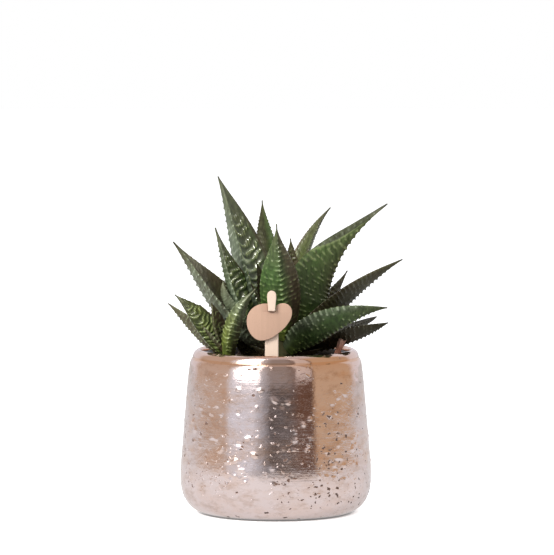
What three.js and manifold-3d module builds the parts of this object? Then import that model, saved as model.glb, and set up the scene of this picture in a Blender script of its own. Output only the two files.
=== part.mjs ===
// A potted haworthia: a glazed round pot, the grower's plastic pot inside it, compost, a main
// rosette with a small offset beside it, and a plain two-piece wooden plant tag.
// Millimetres, +Z up. The origin is the centre of the pot's foot, and the tag faces -Y.
import * as THREE from 'three';
import { mergeVertices } from 'three/addons/utils/BufferGeometryUtils.js';
import Module from 'manifold-3d';

const wasm = await Module();
wasm.setup();

// ---- driving dimensions ----
const GAP = 0.3;                 // clearance between neighbouring pieces

const POT_HEIGHT = 95;
const POT_FOOT_RADIUS = 37;      // flat ring that the pot stands on
const POT_BELLY_RADIUS = 55.6;
const POT_BELLY_HEIGHT = 22;
const POT_SHOULDER_RADIUS = 50.3;
const POT_SHOULDER_HEIGHT = 85.5;
const POT_GROOVE_RADIUS = 48.3;  // crease under the rolled lip
const POT_GROOVE_HEIGHT = 90.4;
const POT_MOUTH_RADIUS = 43.5;
const POT_WALL = 5;
const POT_FLOOR = 7;
const POT_SEGMENTS = 42;

const LINER_LIP_RADIUS = 42.2;   // grower's pot, just inside the mouth
const LINER_LIP_WIDTH = 2.4;
const LINER_LIP_HEIGHT = 92.6;
const LINER_BASE_RADIUS = 32;
const LINER_WALL = 1;
const LINER_SEGMENTS = 36;

const SOIL_HEIGHT = 89;
const SOIL_LUMP = 0.8;

const CROWN = new THREE.Vector3(4, 0, 84);        // foot of the main stem
const CROWN_HEIGHT = 28;
const CROWN_RADIUS = 7;
const OFFSET = new THREE.Vector3(-28, -17.5, 84); // foot of the offset's stem
const OFFSET_HEIGHT = 15;
const OFFSET_RADIUS = 3.2;

const RIDGE_HEIGHT = 0.5;        // relief of the pale cross ridges
const TOOTH_LENGTH = 0.45;       // how far a ridge sticks out at the leaf's edge
const RIDGE_PITCH = 5.6;
const RIDGE_SAG = 0.014;         // the ridges hang down in the middle of the blade, as a share of length
const LEAF_CHANNEL = 0.17;       // depth of the hollow inner face, as a share of the width
const LEAF_KEEL = 0.28;          // thickness of the blade, as a share of the width
const KEEL_CREASE = 1.35;        // how sharply the outer face is creased along the keel (1: a fold, 2: round)
const LEAF_NECK = 0.4;           // width where the leaf leaves the stem, as a share
const LEAF_LEAST = 0.8;          // blunt tip
const LEAF_TAPER = 0.625;        // share of the length over which the blade narrows to its tip
const BROAD = { point: 1.25, pitch: RIDGE_PITCH };  // edges that run fairly straight into the tip
const SLIM = { point: 1.7, pitch: RIDGE_PITCH };    // a drawn-out tip
const BROAD_KEELED = { ...BROAD, keel: 0.37 };      // thicker leaves with a high keel
const SLIM_KEELED = { ...SLIM, keel: 0.36 };
const LONG_KEELED = { ...SLIM, point: 2.3, keel: 0.4 };
const REAR = { point: 1.25, pitch: 9 };             // fewer ridges on leaves that lie at the back
const LEAF_EDGE = 0.7;           // thickness of the blade at its edges

const STUB = new THREE.Vector3(31.5, -13, 84);    // dried stalk left in the compost
const STUB_HEIGHT = 19;
const STUB_RADIUS = 1.7;
const STUB_LEAN = THREE.MathUtils.degToRad(22);

const TAG_X = -2.3;              // the stick stands just inside the front of the mouth
const TAG_Y = -35;
const TAG_THICKNESS = 1.5;
const TAG_STEP = TAG_THICKNESS + GAP;   // stick, disc and head lie one behind the other
const STICK_WIDTH = 7.7;
const STICK_NECK_WIDTH = 3.2;
const STICK_HEAD_WIDTH = 5.1;
const STICK_FOOT = 67;
const STICK_TOP = 132;
const NOTCH_BOTTOM = 119.6;      // the neck comes forward through the notch of the disc
const NOTCH_WIDTH = 4.4;

// ---- materials ----
const material = (color, roughness, metalness = 0) =>
  new THREE.MeshStandardMaterial({ color, roughness, metalness });
const GLAZE = material(0xc4aa9c, 0.22, 0.6);
const PLASTIC = material(0x202224, 0.5);
const COMPOST = material(0x2a2019, 0.95);
const STEM = material(0x4a4a26, 0.8);
const LEAF = material(0x3f5a2c, 0.45);
const OFFSET_LEAF = material(0x55702f, 0.45);
const DRY = material(0x6b3f33, 0.9);
const WOOD = material(0xdcc3a0, 0.7);

const part = new THREE.Group();

function place(name, geometry, look) {
  const mesh = new THREE.Mesh(geometry, look);
  mesh.name = name;
  part.add(mesh);
}

// ---- joining and cutting ----
function toSolid(geometry) {
  const bare = geometry.clone();
  bare.deleteAttribute('normal');
  bare.deleteAttribute('uv');
  const merged = mergeVertices(bare, 1e-4);
  return new wasm.Manifold(new wasm.Mesh({
    numProp: 3,
    vertProperties: new Float32Array(merged.attributes.position.array),
    triVerts: new Uint32Array(merged.index.array),
  }));
}

function toGeometry(solid) {
  const mesh = solid.getMesh();
  const geometry = new THREE.BufferGeometry();
  geometry.setAttribute('position', new THREE.BufferAttribute(mesh.vertProperties, 3));
  geometry.setIndex(new THREE.BufferAttribute(mesh.triVerts, 1));
  geometry.computeVertexNormals();
  return geometry;
}

// ---- round pieces ----
function lathe(points, segments) {
  const outline = points.map(([r, z]) => new THREE.Vector2(r, z));
  const geometry = new THREE.LatheGeometry(outline, segments);
  geometry.rotateX(Math.PI / 2);
  return geometry;
}

// quarter of a squarish ellipse, from the foot's edge out to the belly
function footCurve(steps, roundness = 2.5) {
  const points = [];
  for (let i = 1; i <= steps; i++) {
    const angle = (i / steps) * (Math.PI / 2);
    const out = Math.sin(angle) ** (2 / roundness);
    const up = 1 - Math.cos(angle) ** (2 / roundness);
    points.push([
      POT_FOOT_RADIUS + (POT_BELLY_RADIUS - POT_FOOT_RADIUS) * out,
      POT_BELLY_HEIGHT * up,
    ]);
  }
  return points;
}

function potGeometry() {
  const belly = POT_BELLY_RADIUS;
  const outside = [
    [0, 0], [POT_FOOT_RADIUS, 0], ...footCurve(6),
    [belly - 1.6, 42], [belly - 3.9, 68], [POT_SHOULDER_RADIUS, POT_SHOULDER_HEIGHT],
    [POT_SHOULDER_RADIUS - 1.0, 89], [POT_GROOVE_RADIUS, POT_GROOVE_HEIGHT],
    [POT_GROOVE_RADIUS - 0.1, 92.2], [47.3, 93.9], [45.6, POT_HEIGHT],
    [POT_MOUTH_RADIUS + 0.8, POT_HEIGHT - 0.1],
  ];
  const inside = [
    [POT_MOUTH_RADIUS, POT_HEIGHT - 0.9], [POT_MOUTH_RADIUS, 86],
    [belly - POT_WALL, 30], [belly - POT_WALL - 6, POT_FLOOR + 3], [40, POT_FLOOR], [0, POT_FLOOR],
  ];
  return lathe([...outside, ...inside], POT_SEGMENTS);
}

const LINER_FOOT = POT_FLOOR + GAP;
const LINER_NECK_RADIUS = LINER_LIP_RADIUS - LINER_LIP_WIDTH + 0.2;

function linerGeometry() {
  const wall = LINER_WALL;
  return lathe([
    [0, LINER_FOOT], [LINER_BASE_RADIUS, LINER_FOOT],
    [LINER_NECK_RADIUS + wall, LINER_LIP_HEIGHT - 3],
    [LINER_LIP_RADIUS, LINER_LIP_HEIGHT - 2.4], [LINER_LIP_RADIUS, LINER_LIP_HEIGHT],
    [LINER_NECK_RADIUS, LINER_LIP_HEIGHT], [LINER_NECK_RADIUS, LINER_LIP_HEIGHT - 3],
    [LINER_BASE_RADIUS - wall, LINER_FOOT + wall], [0, LINER_FOOT + wall],
  ], LINER_SEGMENTS);
}

// height of the compost at a place, a few broad lumps
function soilTop(x, y) {
  const broad = Math.sin(x * 0.31 + 1.2) * Math.cos(y * 0.27);
  const narrow = Math.sin(y * 0.5 + x * 0.17);
  return SOIL_HEIGHT + SOIL_LUMP * (broad + narrow / 2);
}

function soilGeometry() {
  const rim = LINER_NECK_RADIUS - GAP - 0.1;
  const foot = LINER_FOOT + LINER_WALL + GAP;
  const footRadius = LINER_BASE_RADIUS - LINER_WALL - GAP - 0.5;
  const side = footRadius + (rim - footRadius) * 0.96;
  const top = [rim - 1, 30, 20, 10, 0].map((r) => [r, SOIL_HEIGHT]);
  const geometry = lathe([[0, foot], [footRadius, foot], [side, SOIL_HEIGHT - 2], ...top], 30);
  const position = geometry.attributes.position;
  for (let i = 0; i < position.count; i++) {
    if (position.getZ(i) > SOIL_HEIGHT - 1) {
      position.setZ(i, soilTop(position.getX(i), position.getY(i)));
    }
  }
  return geometry;
}

function stemGeometry(foot, height, radius, grow = 0) {
  const r = radius + grow;
  const low = -grow;
  const geometry = lathe([
    [0, low], [r * 0.8, low], [r, height * 0.3], [r * 0.95, height * 0.65],
    [r * 0.6, height * 0.92 + grow], [0, height + grow],
  ], 20);
  return geometry.translate(foot.x, foot.y, foot.z);
}

// ---- leaves ----
// Each leaf runs from its base through a middle point to its tip. The fourth value is its width,
// the fifth points the way its hollow inner face looks, and the last is how it tapers and ridges.
const MAIN_LEAVES = {
  leaf_front_centre: [[5, -5, 102], [1.8, -20, 139.5], [0.5, -30, 169.5], 24, [-0.15, 0.95, 0.3], SLIM],
  leaf_tall_left: [[0, 5, 104], [-13, 13, 150.2], [-33.7, 22, 194], 35.6, [0.91, -0.42, 0.2], BROAD_KEELED],
  leaf_big_right: [[10.5, 1, 98], [19.6, 8, 140.7], [64.9, 8.5, 178.8], 41, [-0.8, 0.47, 0.38], LONG_KEELED],
  leaf_mid_left: [[-1.5, -1, 100], [-19.2, -11, 131.8], [-34.9, -8, 166], 24.7, [0.8, -0.42, 0.3], SLIM_KEELED],
  leaf_back_centre: [[3.5, 4, 106], [-4.5, 32, 145], [-8, 44, 178.6], 16.5, [0.2, -0.9, 0.4]],
  leaf_back_right: [[5, 6, 106], [13, 20, 146], [32, 27, 175.5], 17, [-0.75, -0.45, 0.45]],
  leaf_left: [[-1, -0.5, 97], [-30.2, -3, 128], [-59.3, -4, 157.6], 30.6, [0.45, -0.28, 0.75], SLIM_KEELED],
  leaf_right: [[9, -1.5, 102], [34.6, -6, 128], [73.2, -8, 147.7], 30.4, [-0.45, 0.05, 0.85]],
  leaf_front_right: [[8, -3, 96], [34, -22, 116.3], [64, -30, 121.5], 27, [0.1, 0.35, 1]],
  leaf_low_right: [[9, 1, 96], [44, -2, 105.5], [65, -3, 110.5], 18, [0, 0.35, 1]],
  leaf_front_left: [[-1, -2.5, 97], [-23.8, -12, 120.3], [-29.8, -14, 135.8], 13, [0.7, 0.4, 0.5]],
  leaf_heart_right: [[4.5, 1, 108], [8.5, 2, 137.5], [8.5, 3, 159], 12, [0.1, -0.95, 0.2]],
  leaf_heart_left: [[3, -0.5, 108], [2, 3, 130], [0, 6, 150], 13, [0.3, -0.95, 0.2], REAR],
  leaf_right_behind: [[8, 3, 101], [27, 22, 118.5], [42, 33, 138], 14, [-0.4, -0.5, 0.7], REAR],
  leaf_low_right_behind: [[8, 3, 96], [44.5, 14, 108], [59, 20, 112], 11, [0, 0, 1], REAR],
  leaf_rear_centre: [[4, 5, 98], [2, 28, 114], [-0.5, 50, 137], 26, [0, -0.6, 0.8], REAR],
  leaf_rear_left: [[0, 4, 98], [-12, 20, 113], [-24, 36, 130], 24, [0.4, -0.4, 0.8], REAR],
  leaf_rear_right: [[7, 5, 98], [17, 24, 113], [30, 42, 135], 26, [-0.3, -0.5, 0.8], REAR],
  leaf_rear_far_right: [[9, 3, 97], [25, 16, 109], [44, 30, 126], 24, [-0.4, -0.2, 0.9], REAR],
  leaf_rear_low_left: [[-1, 2.5, 97], [-16, 13, 104], [-33, 24, 116], 22, [0.3, -0.2, 0.9], REAR],
};
const OFFSET_LEAVES = {
  offset_leaf_front: [[-27.3, -19, 93], [-22.8, -24, 115], [-11.5, -26, 132], 10.5, [0.3, 0.8, 0.4]],
  offset_leaf_left: [[-29, -18.5, 95], [-42, -22, 113.5], [-58, -24, 128.5], 17, [0.45, -0.75, 0.6]],
  offset_leaf_lowest: [[-29.5, -16.5, 95], [-45.5, -14, 110], [-62, -12, 122.5], 15, [0.4, 0.3, 0.7]],
  offset_leaf_upright: [[-28, -17, 96], [-32.5, -17, 112], [-37, -18, 123], 12, [0.7, -0.5, 0.4]],
  offset_leaf_inner: [[-29, -15.5, 95], [-37, -11, 111.5], [-44, -10, 121.5], 11, [0.5, -0.3, 0.6]],
};

// outline of the blade across its width: [how far to the side, inner face (1) or outer face (-1)]
const SECTION = [
  [-1, 1], [-0.5, 1], [0, 1], [0.5, 1], [1, 1],
  [1, -1], [0.5, -1], [0, -1], [-0.5, -1], [-1, -1],
];

function leafGeometry([base, middle, tip, width, facing, build = BROAD], grow = 0) {
  const start = new THREE.Vector3(...base);
  const end = new THREE.Vector3(...tip);
  const pull = new THREE.Vector3(...middle).multiplyScalar(2)
    .addScaledVector(start, -0.5).addScaledVector(end, -0.5);
  const curve = new THREE.QuadraticBezierCurve3(start, pull, end);
  const rings = 2 * Math.max(4, Math.round((0.8 * curve.getLength()) / build.pitch)) + 1;
  const inward = new THREE.Vector3(...facing);
  const position = [];
  for (let k = 0; k <= rings; k++) {
    const inside = k > 0 && k < rings;
    for (const [side, face] of SECTION) {
      const flat = 1 - side * side;
      const t = k / rings - (inside ? RIDGE_SAG * face * flat : 0);
      const along = curve.getTangent(t);
      const up = inward.clone().addScaledVector(along, -inward.dot(along)).normalize();
      const across = new THREE.Vector3().crossVectors(along, up);
      const relief = inside && k % 2 === 1 ? Math.min(1, 3 * (1 - t)) : 0;
      const neck = LEAF_NECK + (1 - LEAF_NECK) * Math.sin((Math.min(1, t / 0.32) * Math.PI) / 2);
      const narrowing = Math.sin((Math.min(1, (1 - t) / LEAF_TAPER) * Math.PI) / 2) ** build.point;
      const blade = Math.max(width * narrowing * neck, LEAF_LEAST);
      const keel = width * (build.keel ?? LEAF_KEEL) * (1 - t ** 1.15) ** 0.85
        * (0.5 + 0.5 * Math.min(1, t / 0.3));
      const a = side * (blade / 2 + grow) + (flat === 0 ? side * relief * TOOTH_LENGTH : 0);
      let b = face * (LEAF_EDGE / 2 + grow + (flat > 0 ? relief * RIDGE_HEIGHT : 0));
      b -= LEAF_CHANNEL * blade * flat;
      if (face < 0) b -= keel * (1 - Math.abs(side) ** KEEL_CREASE);
      const shift = k === 0 ? -grow : (k === rings ? grow : 0);
      position.push(...curve.getPoint(t).addScaledVector(across, a).addScaledVector(up, b)
        .addScaledVector(along, shift).toArray());
    }
  }
  const n = SECTION.length;
  const index = [];
  for (let k = 0; k < rings; k++) {
    for (let j = 0; j < n; j++) {
      const a = k * n + j;
      const b = k * n + ((j + 1) % n);
      index.push(a, b, b + n, a, b + n, a + n);
    }
  }
  const last = rings * n;
  for (let j = 0; j < n / 2 - 1; j++) {
    const [a, b, c, d] = [j, j + 1, n - 2 - j, n - 1 - j];
    index.push(a, c, b, a, d, c);
    index.push(last + a, last + b, last + c, last + a, last + c, last + d);
  }
  const geometry = new THREE.BufferGeometry();
  geometry.setAttribute('position', new THREE.Float32BufferAttribute(position, 3));
  geometry.setIndex(index);
  return geometry;
}

// the largest body of a trimmed leaf, without the offcuts
function largest(solid) {
  return solid.decompose().sort((one, two) => two.volume() - one.volume())[0];
}

// Leaves nest against each other: each one is trimmed where an earlier leaf or the stem passes.
function addRosette(leaves, stem, look, passed) {
  for (const [name, shape] of Object.entries(leaves)) {
    let solid = toSolid(leafGeometry(shape)).subtract(stem);
    for (const other of passed) {
      if (solid.intersect(other).volume() > 0) solid = solid.subtract(other);
    }
    passed.push(toSolid(leafGeometry(shape, GAP)));
    place(name, toGeometry(largest(solid)), look);
  }
}

// ---- plant tag ----
function extrudeAlongY(shape, depth, y) {
  const geometry = new THREE.ExtrudeGeometry(shape, { depth, bevelEnabled: false, curveSegments: 6 });
  return geometry.rotateX(Math.PI / 2).translate(TAG_X, y, 0);
}

// seen from the front: a broad blade, a narrow neck and a round head
function stickFront() {
  const shape = new THREE.Shape();
  const head = STICK_HEAD_WIDTH / 2;
  const neck = STICK_NECK_WIDTH / 2;
  const blade = STICK_WIDTH / 2;
  shape.moveTo(0, STICK_FOOT - 6).lineTo(blade, STICK_FOOT).lineTo(blade, NOTCH_BOTTOM - 8);
  shape.lineTo(neck, NOTCH_BOTTOM - 3).lineTo(neck, NOTCH_BOTTOM + 2);
  shape.lineTo(head, STICK_TOP - 2 * head).absarc(0, STICK_TOP - head, head, 0, Math.PI, false);
  shape.lineTo(-head, STICK_TOP - 2 * head).lineTo(-neck, NOTCH_BOTTOM + 2);
  shape.lineTo(-neck, NOTCH_BOTTOM - 3).lineTo(-blade, NOTCH_BOTTOM - 8).lineTo(-blade, STICK_FOOT);
  return shape;
}

// seen from the side: the blade behind the disc, the head in front of it
function stickSide() {
  const back = TAG_Y;
  const front = TAG_Y - 2 * TAG_STEP;
  const low = NOTCH_BOTTOM + GAP;
  const high = low + TAG_THICKNESS;
  const shape = new THREE.Shape();
  shape.moveTo(back, STICK_FOOT - 8).lineTo(back, high).lineTo(front, high).lineTo(front, STICK_TOP + 2);
  shape.lineTo(front - TAG_THICKNESS, STICK_TOP + 2).lineTo(front - TAG_THICKNESS, low);
  shape.lineTo(back - TAG_THICKNESS, low).lineTo(back - TAG_THICKNESS, STICK_FOOT - 8);
  return shape;
}

function stickSolid() {
  const front = extrudeAlongY(stickFront(), 30, TAG_Y + 15);
  const side = new THREE.ExtrudeGeometry(stickSide(), { depth: 20, bevelEnabled: false });
  side.rotateX(Math.PI / 2).rotateZ(Math.PI / 2).translate(TAG_X - 10, 0, 0);
  return toSolid(front).intersect(toSolid(side));
}

// a leaning heart; its notch is cut straight for the stick's neck
function discGeometry() {
  const half = NOTCH_WIDTH / 2;
  const shape = new THREE.Shape();
  shape.moveTo(half, NOTCH_BOTTOM).lineTo(half + 0.4, NOTCH_BOTTOM + 3.4);
  shape.bezierCurveTo(5.3, 126, 12, 125, 11.6, 118.8);
  shape.bezierCurveTo(11.2, 112, 1, 104, -4.7, 103.3);
  shape.bezierCurveTo(-10.2, 102.6, -14.3, 108.5, -14.3, 114.4);
  shape.bezierCurveTo(-14.3, 121, -8, 125.2, -half, 124.3);
  shape.lineTo(-half, NOTCH_BOTTOM);
  return extrudeAlongY(shape, TAG_THICKNESS, TAG_Y - TAG_STEP);
}

// ---- dried stalk ----
function stubGeometry(grow = 0) {
  const r = STUB_RADIUS + grow;
  const geometry = lathe([
    [0, -grow], [r, -grow], [r, STUB_HEIGHT * 0.6], [r * 1.35, STUB_HEIGHT + grow],
    [r * 0.7, STUB_HEIGHT - 1.2 + grow], [0, STUB_HEIGHT - 1.6 + grow],
  ], 10);
  return geometry.rotateY(STUB_LEAN).translate(STUB.x, STUB.y, STUB.z);
}

// ---- assembly ----
place('pot', potGeometry(), GLAZE);
place('grow_pot', linerGeometry(), PLASTIC);
place('stem_main', stemGeometry(CROWN, CROWN_HEIGHT, CROWN_RADIUS), STEM);
place('stem_offset', stemGeometry(OFFSET, OFFSET_HEIGHT, OFFSET_RADIUS), STEM);

const mainHole = toSolid(stemGeometry(CROWN, CROWN_HEIGHT, CROWN_RADIUS, GAP));
const offsetHole = toSolid(stemGeometry(OFFSET, OFFSET_HEIGHT, OFFSET_RADIUS, GAP));
const passed = [];
addRosette(OFFSET_LEAVES, offsetHole, OFFSET_LEAF, passed);
addRosette(MAIN_LEAVES, mainHole, LEAF, passed);

place('dried_stalk', stubGeometry(), DRY);
place('tag_stick', toGeometry(stickSolid()), WOOD);
place('tag_disc', discGeometry(), WOOD);

const slit = new THREE.BoxGeometry(STICK_WIDTH + 2 * GAP, TAG_THICKNESS + 2 * GAP, 50)
  .translate(TAG_X, TAG_Y - TAG_THICKNESS / 2, STICK_FOOT + 17);
const compost = toSolid(soilGeometry()).subtract(mainHole).subtract(offsetHole)
  .subtract(toSolid(stubGeometry(GAP))).subtract(toSolid(slit));
place('soil', toGeometry(compost), COMPOST);

export default part;
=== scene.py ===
"""A potted haworthia in a lustre-glazed pot, with a plain wooden plant tag.

Sizes are in millimetres in the settings and tables below, and MM turns them into metres.
"""
import math

import bpy
import numpy as np
from bpy.props import FloatProperty, FloatVectorProperty, PointerProperty
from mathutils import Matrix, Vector


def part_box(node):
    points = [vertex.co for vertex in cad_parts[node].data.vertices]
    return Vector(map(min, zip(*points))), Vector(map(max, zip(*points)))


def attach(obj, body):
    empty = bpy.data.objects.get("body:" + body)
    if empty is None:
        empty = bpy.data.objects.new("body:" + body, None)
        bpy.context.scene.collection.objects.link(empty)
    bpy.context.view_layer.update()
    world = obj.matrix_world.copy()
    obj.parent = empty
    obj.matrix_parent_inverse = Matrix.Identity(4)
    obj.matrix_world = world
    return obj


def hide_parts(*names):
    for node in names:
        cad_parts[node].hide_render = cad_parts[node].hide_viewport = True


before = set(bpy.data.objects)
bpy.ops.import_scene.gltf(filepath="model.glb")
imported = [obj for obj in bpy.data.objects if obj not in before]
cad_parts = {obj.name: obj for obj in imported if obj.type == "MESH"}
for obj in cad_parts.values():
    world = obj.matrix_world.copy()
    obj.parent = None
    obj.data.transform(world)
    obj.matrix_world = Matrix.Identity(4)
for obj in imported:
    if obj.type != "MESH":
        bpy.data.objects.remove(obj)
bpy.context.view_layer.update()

bl_info = {
    "name": "Potted haworthia",
    "version": (1, 0, 0),
    "blender": (4, 5, 0),
    "location": "3D Viewport > Sidebar > Haworthia",
    "description": "Dresses the plant, its pot and its tag, and lights them",
    "category": "Add Mesh",
}

MM = 0.001
MERGE = 0.001 * MM
POT_LOW, POT_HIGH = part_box("pot")
LINER_LOW, LINER_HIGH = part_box("grow_pot")
SOIL_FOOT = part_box("soil")[0].z / MM
SOIL_TOP = 89

# Each leaf runs from its base through a middle point to its tip; then come its width and the way
# its hollow inner face looks. After these stand, where they aren't the usual ones, how its edges
# run into the tip and how high its keel is as a share of its width.
BROAD, SLIM = 1.25, 1.7
USUAL_KEEL = 0.28
SEED_STEP = 1.37
MAIN_LEAVES = {
    "leaf_front_centre": ((5, -5, 102), (1.8, -20, 139.5), (0.5, -30, 169.5), 24,
                          (-0.15, 0.95, 0.3), SLIM),
    "leaf_tall_left": ((0, 5, 104), (-13, 13, 150.2), (-33.7, 22, 194), 35.6,
                       (0.91, -0.42, 0.2), BROAD, 0.37),
    "leaf_big_right": ((10.5, 1, 98), (19.6, 8, 140.7), (64.9, 8.5, 178.8), 41,
                       (-0.8, 0.47, 0.38), 2.3, 0.4),
    "leaf_mid_left": ((-1.5, -1, 100), (-19.2, -11, 131.8), (-34.9, -8, 166), 24.7,
                      (0.8, -0.42, 0.3), SLIM, 0.36),
    "leaf_back_centre": ((3.5, 4, 106), (-4.5, 32, 145), (-8, 44, 178.6), 16.5, (0.2, -0.9, 0.4)),
    "leaf_back_right": ((5, 6, 106), (13, 20, 146), (32, 27, 175.5), 17, (-0.75, -0.45, 0.45)),
    "leaf_left": ((-1, -0.5, 97), (-30.2, -3, 128), (-59.3, -4, 157.6), 30.6,
                  (0.45, -0.28, 0.75), SLIM, 0.36),
    "leaf_right": ((9, -1.5, 102), (34.6, -6, 128), (73.2, -8, 147.7), 30.4, (-0.45, 0.05, 0.85)),
    "leaf_front_right": ((8, -3, 96), (34, -22, 116.3), (64, -30, 121.5), 27, (0.1, 0.35, 1)),
    "leaf_low_right": ((9, 1, 96), (44, -2, 105.5), (65, -3, 110.5), 18, (0, 0.35, 1)),
    "leaf_front_left": ((-1, -2.5, 97), (-23.8, -12, 120.3), (-29.8, -14, 135.8), 13, (0.7, 0.4, 0.5)),
    "leaf_heart_right": ((4.5, 1, 108), (8.5, 2, 137.5), (8.5, 3, 159), 12, (0.1, -0.95, 0.2)),
    "leaf_heart_left": ((3, -0.5, 108), (2, 3, 130), (0, 6, 150), 13, (0.3, -0.95, 0.2)),
    "leaf_right_behind": ((8, 3, 101), (27, 22, 118.5), (42, 33, 138), 14, (-0.4, -0.5, 0.7)),
    "leaf_low_right_behind": ((8, 3, 96), (44.5, 14, 108), (59, 20, 112), 11, (0, 0, 1)),
    "leaf_rear_centre": ((4, 5, 98), (2, 28, 114), (-0.5, 50, 137), 26, (0, -0.6, 0.8)),
    "leaf_rear_left": ((0, 4, 98), (-12, 20, 113), (-24, 36, 130), 24, (0.4, -0.4, 0.8)),
    "leaf_rear_right": ((7, 5, 98), (17, 24, 113), (30, 42, 135), 26, (-0.3, -0.5, 0.8)),
    "leaf_rear_far_right": ((9, 3, 97), (25, 16, 109), (44, 30, 126), 24, (-0.4, -0.2, 0.9)),
    "leaf_rear_low_left": ((-1, 2.5, 97), (-16, 13, 104), (-33, 24, 116), 22, (0.3, -0.2, 0.9)),
}
OFFSET_LEAVES = {
    "offset_leaf_front": ((-27.3, -19, 93), (-22.8, -24, 115), (-11.5, -26, 132), 10.5, (0.3, 0.8, 0.4)),
    "offset_leaf_left": ((-29, -18.5, 95), (-42, -22, 113.5), (-58, -24, 128.5), 17, (0.45, -0.75, 0.6)),
    "offset_leaf_lowest": ((-29.5, -16.5, 95), (-45.5, -14, 110), (-62, -12, 122.5), 15,
                           (0.4, 0.3, 0.7)),
    "offset_leaf_upright": ((-28, -17, 96), (-32.5, -17, 112), (-37, -18, 123), 12, (0.7, -0.5, 0.4)),
    "offset_leaf_inner": ((-29, -15.5, 95), (-37, -11, 111.5), (-44, -10, 121.5), 11, (0.5, -0.3, 0.6)),
}

# Old leaves: one deep in the rosette, the others withered stumps round the foot of the main stem.
OLD_LEAVES = {
    "old_leaf_left": ((-2.5, 2, 90.5), (-15, 4, 98.5), (-30, 6, 108.5), 22, (0.3, -0.8, 0.6)),
    "old_leaf_heart": ((-0.5, 5, 106), (-5, 7, 124), (-11.5, 8, 146), 12, (0.2, -1, 0.2)),
    "old_leaf_front": ((0, -3, 90.5), (-7, -8, 94.5), (-14, -11, 98), 9, (0.3, 0.3, 0.9)),
    "old_leaf_right": ((9, -2, 90.5), (18, -5, 93.5), (27, -7, 96), 9, (-0.3, 0.3, 0.9)),
    "old_leaf_back": ((5, 5, 90.5), (6, 14, 95), (8, 23, 100), 10, (0, -0.3, 0.9)),
}

# ---- settings


def length(name, text, value):
    return FloatProperty(name=name, description=text, default=value, min=0.0)


def colour(name, text, value):
    return FloatVectorProperty(name=name, description=text, default=value, size=3, subtype="COLOR",
                               min=0.0, max=1.0)


class PotSettings(bpy.types.PropertyGroup):
    """Sizes and colours of the glazed pot"""
    foot: length("Foot radius", "Flat ring that the pot stands on, mm", 37.0)
    belly: length("Belly radius", "Widest part, mm", (POT_HIGH.x - POT_LOW.x) / 2 / MM)
    belly_height: length("Belly height", "Height of the widest part, mm", 22.0)
    height: length("Height", "Height of the lip, mm", (POT_HIGH.z - POT_LOW.z) / MM)
    mouth: length("Mouth radius", "Inside of the lip, mm", 43.5)
    wall: length("Wall", "Thickness of the wall, mm", 5.0)
    lustre: colour("Lustre", "Metallic glaze", (0.83, 0.70, 0.68))
    copper: colour("Copper", "Where the lustre is thin", (0.76, 0.50, 0.36))
    pit: colour("Pits", "Small burst bubbles", (0.13, 0.060, 0.035))


class LeafSettings(bpy.types.PropertyGroup):
    """Relief and colours of the leaves; pitches are those of a leaf 30 mm wide"""
    ridge: length("Ridge height", "Height of the pale cross ridges, mm", 0.95)
    ridge_pitch: length("Ridge pitch", "Distance between ridges on the inner face, mm", 4.45)
    bead: length("Bead height", "Height of the beads on the outer face, mm", 0.65)
    bead_pitch: length("Bead pitch", "Distance between rows of beads, mm", 3.75)
    tooth: length("Tooth length", "How far the beads stand out along the edges, mm", 0.75)
    green: colour("Green", "Well lit leaf", (0.062, 0.150, 0.020))
    olive: colour("Olive", "Older leaf", (0.080, 0.102, 0.026))
    brown: colour("Brown", "Shaded, reddened leaf", (0.092, 0.058, 0.032))
    young: colour("Young", "Leaf of the offset", (0.25, 0.29, 0.050))
    base: colour("Base", "Foot of a leaf", (0.24, 0.30, 0.055))
    tip: colour("Tip", "Last part of a leaf", (0.100, 0.100, 0.050))
    bloom: colour("Bloom", "Waxy outer face", (0.235, 0.285, 0.190))
    # painted shade: the colour that the hollows between the ridges are darkened towards; it also colours
    # the random darker streaks
    deep: colour("Hollows", "Between the ridges", (0.012, 0.022, 0.008))
    pale: colour("Ridges", "Wax on ridges and beads", (0.38, 0.46, 0.17))
    frost: colour("Frosted beads", "Beads of the waxy outer face", (0.45, 0.52, 0.38))


class TagSettings(bpy.types.PropertyGroup):
    """Sizes and colours of the wooden tag"""
    thickness: length("Thickness", "Of the stick and the disc, mm", 1.5)
    stick: colour("Stick", "Pale wood", (0.93, 0.73, 0.59))
    disc: colour("Disc", "Pinker wood", (0.63, 0.41, 0.30))
    edge: colour("Cut edge", "Darker cut edge", (0.40, 0.20, 0.12))


class StageSettings(bpy.types.PropertyGroup):
    """Camera, floor and light"""
    distance: length("Camera distance", "From the pot's axis, mm", 2500.0)
    camera_height: length("Camera height", "Above the floor, mm", 331.0)
    pitch: FloatProperty(name="Pitch", description="How far the camera looks down",
                         default=math.radians(4.45), subtype="ANGLE")
    lens: length("Lens", "Focal length, mm", 280.8)
    floor: colour("Floor", "Plain pale floor", (0.92, 0.92, 0.93))
    key: FloatProperty(name="Key light", description="Strength of the main soft light", default=24.0)


# ---- modelling helpers


def deselect():
    if bpy.context.object and bpy.context.object.mode != "OBJECT":
        bpy.ops.object.mode_set(mode="OBJECT")
    bpy.ops.object.select_all(action="DESELECT")


def places_of(mesh):
    """Where each vertex is, in metres."""
    places = np.zeros(len(mesh.vertices) * 3)
    mesh.vertices.foreach_get("co", places)
    return places.reshape(-1, 3)


def move_to(mesh, places):
    """Puts each vertex at its place, which is given in mm."""
    mesh.vertices.foreach_set("co", (places * MM).ravel())


def close_seams():
    """Joins the vertices that meet, and turns all faces outwards."""
    bpy.ops.object.mode_set(mode="EDIT")
    bpy.ops.mesh.select_all(action="SELECT")
    bpy.ops.mesh.remove_doubles(threshold=MERGE)
    bpy.ops.mesh.normals_make_consistent(inside=False)
    bpy.ops.object.mode_set(mode="OBJECT")


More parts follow.
